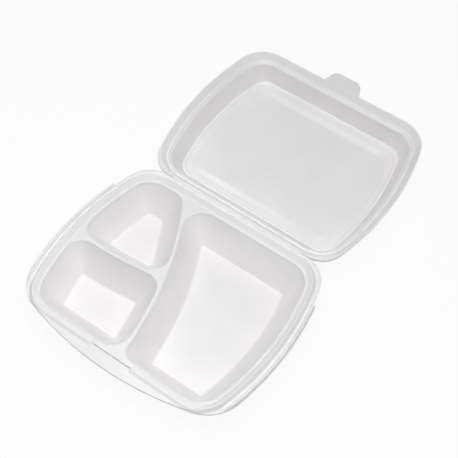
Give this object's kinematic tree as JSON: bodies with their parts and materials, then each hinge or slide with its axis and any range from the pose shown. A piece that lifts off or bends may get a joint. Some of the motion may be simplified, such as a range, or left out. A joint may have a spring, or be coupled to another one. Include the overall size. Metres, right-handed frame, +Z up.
{
  "type": "foam clamshell container",
  "caption": "Hinged white foam meal box lying open, with a divided base, a stepped lid, a sealing rim and a tuck tab.",
  "frame": {"origin": "on the table, under the middle of the open box", "axes": "+X along the hinge, large compartment on the +X side; +Y from the base's front edge towards the open lid; +Z up"},
  "size_m": [0.2428, 0.4091, 0.0444],
  "materials": {
    "foam": "matte"
  },
  "bodies": {
    "base": {"base": "foam"},
    "lid": {"lid": "foam"}
  },
  "joints": [
    {"name": "lid_hinge", "type": "hinge", "parent": "base", "child": "lid", "pos_m": [0, -0.00329, 0.0295], "axis": [1, 0, 0], "range_deg": [0, 176.47]}
  ]
}
